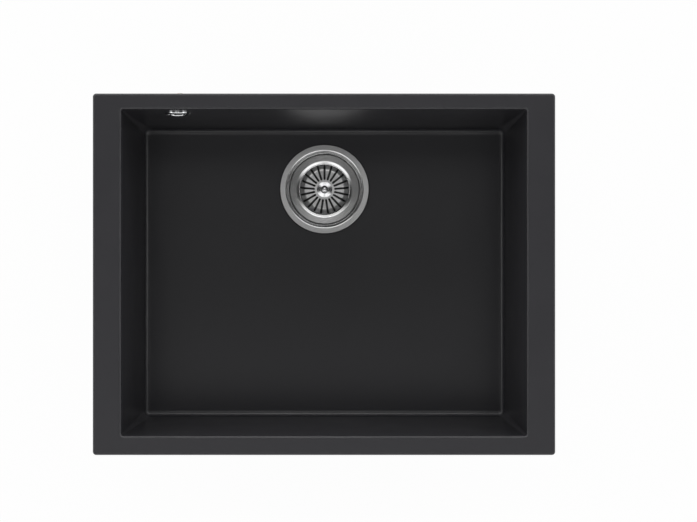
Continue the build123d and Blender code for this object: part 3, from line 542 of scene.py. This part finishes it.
def set_inputs(modifier, values):
    """Set a Geometry Nodes modifier's inputs by the names that its tree gives them."""
    for item in modifier.node_group.interface.items_tree:
        if item.in_out == "INPUT" and item.name in values:
            modifier[item.identifier] = values[item.name]


# %% Hose
STEPS_PER_RIB = 12
HOSE_SIDES = 48
INWARDS = -1.0


def plain_mesh(source, name):
    """Object with the finished mesh of another one, which is removed."""
    evaluated = source.evaluated_get(bpy.context.evaluated_depsgraph_get())
    mesh = bpy.data.meshes.new_from_object(evaluated)
    bpy.data.objects.remove(source)
    made = bpy.data.objects.new(name, mesh)
    bpy.context.scene.collection.objects.link(made)
    return made


path_object = bpy.data.objects.new("hose_route", path_data)
bpy.context.scene.collection.objects.link(path_object)
tube_maker = path_object.modifiers.new("ribbed_tube", "NODES")
tube_maker.node_group = ribbed_tube()
set_inputs(tube_maker, {
    "Radius": HOSE_RADIUS,
    "Valley": HOSE_VALLEY,
    "Pitch": RIB_PITCH,
    "Ribs start": ribs_start,
    "Ribs end": ribs_start + rib_count * RIB_PITCH,
    "Collar radius": COLLAR_RADIUS,
    "Collar height": COLLAR_HEIGHT,
    "Steps": int(hose_length / RIB_PITCH * STEPS_PER_RIB) + 1,
    "Sides": HOSE_SIDES,
    "Finish": grey_hose,
})
bpy.context.view_layer.update()
hose = plain_mesh(path_object, "ribbed_overflow_hose")
wall = hose.modifiers.new("wall", "SOLIDIFY")
wall.thickness = HOSE_WALL
wall.offset = INWARDS
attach(hose, "sink")
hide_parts("overflow_hose")
print("hose mesh:", len(hose.data.polygons), "faces")

# %% [markdown]
# ## Floor
#
# The sink stands over a white floor that fills the picture. A white floor in soft light still
# comes out a little grey, so most of what the camera sees of it is an even white of strength 1,
# and the rest is a plain matt white that keeps the sink's shadow. Polished metal sees the same
# white floor as the camera does.

# %% Floor
FLOOR_SIZE = 14.0
FLOOR_WHITE = (0.85, 0.85, 0.85, 1.0)
PURE_WHITE = (1.0, 1.0, 1.0, 1.0)
EVEN_WHITE_SHARE = 0.96

floor_mesh = bpy.data.meshes.new("floor")
half = FLOOR_SIZE / 2
corners = [(-half, -half), (half, -half), (half, half), (-half, half)]
floor_mesh.from_pydata([(x, y, cad_low.z) for x, y in corners], [], [(0, 1, 2, 3)])
floor = bpy.data.objects.new("floor", floor_mesh)
bpy.context.scene.collection.objects.link(floor)
floor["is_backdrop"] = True

floor_finish = bpy.data.materials.new("white_floor")
floor_finish.use_nodes = True
floor_tree = floor_finish.node_tree
floor_tree.nodes.clear()
rays = add_node(floor_tree, "ShaderNodeLightPath").outputs
seen = maths(floor_tree, "MAXIMUM", rays["Is Camera Ray"], rays["Is Glossy Ray"])
seen = maths(floor_tree, "MAXIMUM", seen, rays["Is Transmission Ray"])
share = maths(floor_tree, "MULTIPLY", seen, EVEN_WHITE_SHARE)
matt = add_node(floor_tree, "ShaderNodeBsdfDiffuse", Color=FLOOR_WHITE).outputs[0]
even = add_node(floor_tree, "ShaderNodeEmission", Color=PURE_WHITE, Strength=1.0).outputs[0]
floor_mix = add_node(floor_tree, "ShaderNodeMixShader", _0=share, _1=matt, _2=even).outputs[0]
add_node(floor_tree, "ShaderNodeOutputMaterial", Surface=floor_mix)
floor_mesh.materials.append(floor_finish)
print("floor at", round(1000 * cad_low.z, 1), "mm")

# %% [markdown]
# ## Light
#
# The sink is shown as in a light tent. Low down the tent is bright all round, more so at the back
# and the front than at the sides, and most of all in a band that still reaches the floor over the
# bowl's walls. That light draws the rounded edges of the rim and of the floor as pale lines.
# Overhead the tent is dim, so that flat steel stays grey, and dimmer still to both sides, so that
# the floor is lightest along its middle. Three bright panels hang there, one at the back and two
# in front. The sloping rings of the strainer mirror them as bright arcs with dark gaps between.
#
# The whole tent is one sky: a direction's height says how far it is from the zenith, and its
# bearing, clockwise from the back as on a clock, says whether it meets a panel. All angles are in
# degrees.

# %% Light tent
LOW_LIGHT = 1.81
LOW_LIGHT_BACK_GAIN = 0.42
LOW_LIGHT_ENDS_GAIN = 0.42
LOW_LIGHT_EDGE = (45.0, 53.0)
BAND_FOOT = (58.0, 66.0)
BAND_GAIN = 1.38
BELOW_BAND_GAIN = 0.55
OVERHEAD_LIGHT = 0.16
OVERHEAD_SIDE_LIGHT = 0.03
OVERHEAD_STRIP = (0.0, 0.08)
PANEL_LIGHT = 1.60
PANEL_FOOT = (23.0, 27.0)
PANEL_FADE = 5.0
# Each panel: the bearing of its middle, half its width, and how far its top is from the zenith
PANELS = [(3.0, 44.0, 9.0), (147.0, 28.0, 6.5), (219.0, 31.0, 6.5)]
PANEL_SOFT_EDGE = 9.0

sky = bpy.data.worlds.new("light_tent")
bpy.context.scene.world = sky
sky.use_nodes = True
sky_tree = sky.node_tree
direction = add_node(sky_tree, "ShaderNodeTexCoord").outputs["Generated"]
sky_x, sky_y, sky_z = add_node(sky_tree, "ShaderNodeSeparateXYZ", Vector=direction).outputs
level = add_node(sky_tree, "ShaderNodeCombineXYZ", X=sky_x, Y=sky_y).outputs[0]
bearing = vector_maths(sky_tree, "NORMALIZE", level).outputs["Vector"]


def blend(share, first, second):
    """Value that goes from the first to the second as the share goes from 0 to 1."""
    values = {"_0": share, "_2": first, "_3": second}
    return add_node(sky_tree, "ShaderNodeMix", {"data_type": "FLOAT"}, **values).outputs[0]


def beyond(start, end):
    """Rises from 0 to 1 between two angles off the zenith."""
    return spread(sky_tree, sky_z, 1.0, 0.0, cos(radians(end)), cos(radians(start)))


def panel(middle, half_width, top):
    """1 within a panel's range of bearings and 0 outside it and above its top, with soft edges."""
    towards = (sin(radians(middle)), cos(radians(middle)), 0.0)
    near = vector_maths(sky_tree, "DOT_PRODUCT", bearing, towards).outputs["Value"]
    outside = cos(radians(half_width + PANEL_SOFT_EDGE))
    inside = cos(radians(half_width - PANEL_SOFT_EDGE))
    abreast = spread(sky_tree, near, 0.0, 1.0, outside, inside)
    return maths(sky_tree, "MULTIPLY", abreast, beyond(top, top + PANEL_FADE))


on_panel = panel(*PANELS[0])
for next_panel in PANELS[1:]:
    on_panel = maths(sky_tree, "MAXIMUM", on_panel, panel(*next_panel))
above_foot = maths(sky_tree, "SUBTRACT", 1.0, beyond(*PANEL_FOOT))
lit = maths(sky_tree, "MULTIPLY", on_panel, above_foot)
aside = maths(sky_tree, "ABSOLUTE", sky_x)
ceiling = spread(sky_tree, aside, OVERHEAD_LIGHT, OVERHEAD_SIDE_LIGHT, *OVERHEAD_STRIP)
overhead = blend(lit, ceiling, PANEL_LIGHT)
back_gain = maths(sky_tree, "MULTIPLY", sky_y, LOW_LIGHT_BACK_GAIN)
towards_back = maths(sky_tree, "ADD", back_gain, 1.0)
squared = maths(sky_tree, "MULTIPLY", sky_y, sky_y)
towards_ends = maths(sky_tree, "MULTIPLY", squared, LOW_LIGHT_ENDS_GAIN)
gain = maths(sky_tree, "ADD", towards_back, towards_ends)
all_round = maths(sky_tree, "MULTIPLY", gain, LOW_LIGHT)
band = spread(sky_tree, beyond(*BAND_FOOT), BAND_GAIN, BELOW_BAND_GAIN, 0.0, 1.0)
low = maths(sky_tree, "MULTIPLY", all_round, band)
tent = blend(beyond(*LOW_LIGHT_EDGE), overhead, low)
background = sky_tree.nodes["Background"]
sky_tree.links.new(tent, background.inputs["Strength"])
background.inputs["Color"].default_value = PURE_WHITE
bpy.context.scene.view_settings.view_transform = "Standard"
print("light tent with", len(PANELS), "panels")

# %% [markdown]
# ## Sizes
#
# Both boxes are printed: the box of the solids after loading, and here the box of everything that
# is shown.

# %% Sizes and finish
seen_low, seen_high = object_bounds()
seen_size = [round(1000 * (high - low), 1) for low, high in zip(seen_low, seen_high)]
print("visual box in mm:", seen_size)
